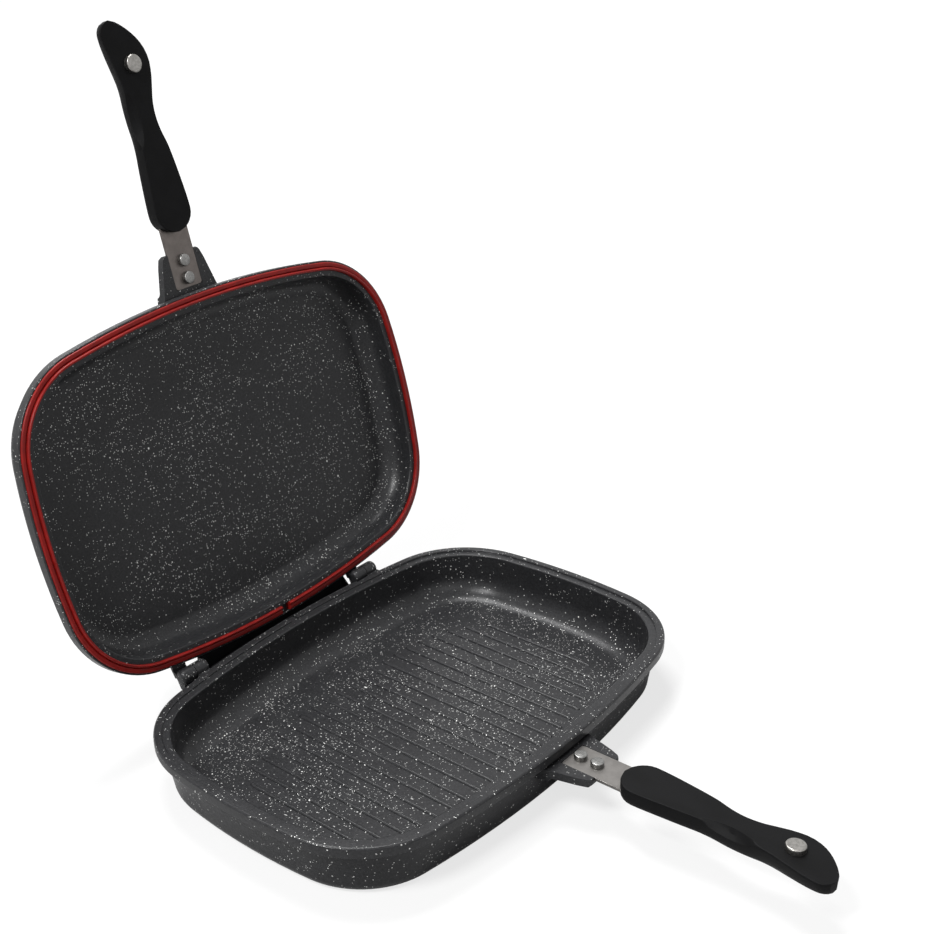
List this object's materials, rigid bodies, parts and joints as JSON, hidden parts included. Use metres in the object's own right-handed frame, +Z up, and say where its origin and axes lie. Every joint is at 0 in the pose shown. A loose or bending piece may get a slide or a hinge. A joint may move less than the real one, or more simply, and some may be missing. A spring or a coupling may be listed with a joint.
{
  "type": "double-sided flip pan",
  "caption": "Hinged double-sided frying pan with a ribbed lower pan, a smooth upper pan with a seal, a drip tray and magnet-tipped handles, shown open.",
  "frame": {"origin": "centre of the lower pan's flat base, where it rests on the cooker", "axes": "+X along the hinge, +Y from the handles towards the hinge, +Z up; the upper pan stands open against its stop"},
  "size_m": [0.36, 0.5537, 0.4574],
  "materials": {
    "coated_casting": "matte dark grey stone-effect non-stick coating with pale speckles",
    "black_moulding": "matte black moulding",
    "pin_steel": "drawn steel",
    "strap_steel": "brushed along its length",
    "rivet_metal": "bright, lightly worn",
    "grip": "satin black heat-proof moulding",
    "plated_steel": "zinc plated",
    "cap_steel": "satin drawn cap",
    "magnet": "plated magnet, hidden in its cap",
    "red_silicone": "satin red silicone"
  },
  "bodies": {
    "lower_half": {"lower_pan": "coated_casting", "hinge_pin_left": "pin_steel", "hinge_pin_right": "pin_steel", "lower_strap": "strap_steel", "lower_rivets": "rivet_metal", "lower_handle": "grip", "lower_handle_screw": "plated_steel", "lower_handle_washer": "plated_steel", "lower_magnet_cap": "cap_steel", "lower_magnet": "magnet"},
    "upper_half": {"upper_pan": "coated_casting", "gasket": "red_silicone", "upper_strap": "strap_steel", "upper_rivets": "rivet_metal", "upper_handle": "grip", "upper_handle_screw": "plated_steel", "upper_handle_washer": "plated_steel", "upper_magnet_cap": "cap_steel", "upper_magnet": "magnet"},
    "tray": {"drip_tray": "black_moulding"}
  },
  "joints": [
    {"name": "pan_hinge", "type": "hinge", "parent": "lower_half", "child": "upper_half", "pos_m": [0, 0.1237, 0.0434], "axis": [1, 0, 0], "range_deg": [0, 104.6]},
    {"name": "tray_pull", "type": "slide", "parent": "lower_half", "child": "tray", "axis": [0, 1, 0], "range_m": [0, 0.06]}
  ]
}
